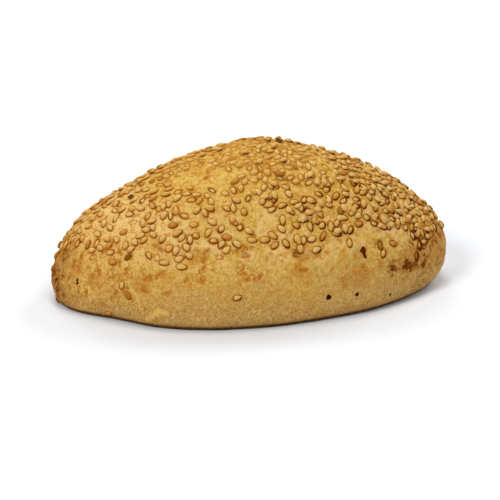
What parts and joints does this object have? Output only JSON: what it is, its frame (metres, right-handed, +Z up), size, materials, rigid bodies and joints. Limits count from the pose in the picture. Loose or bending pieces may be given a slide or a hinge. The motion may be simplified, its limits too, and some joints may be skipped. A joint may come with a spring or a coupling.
{
  "type": "cheese pogaca",
  "caption": "Hand-shaped savoury bun, a long oval with a pointed end, a round end and a soft peak, flat underneath, with a golden crust under toasted sesame seeds.",
  "frame": {"origin": "on the surface that the bun stands on, under the middle of its outline", "axes": "+X along the bun's length towards its round end, -Y towards its front, +Z up"},
  "size_m": [0.1307, 0.0773, 0.0497],
  "materials": {
    "crust": "matte baked dough: golden yellow crust, deeper gold at the ends and on top, paler low on the flanks, browned round the base edge",
    "sesame_seed": "satin toasted sesame seeds, buff to orange brown, stuck into the crust"
  },
  "bodies": {
    "root": {"pogaca": "crust"}
  },
  "joints": []
}
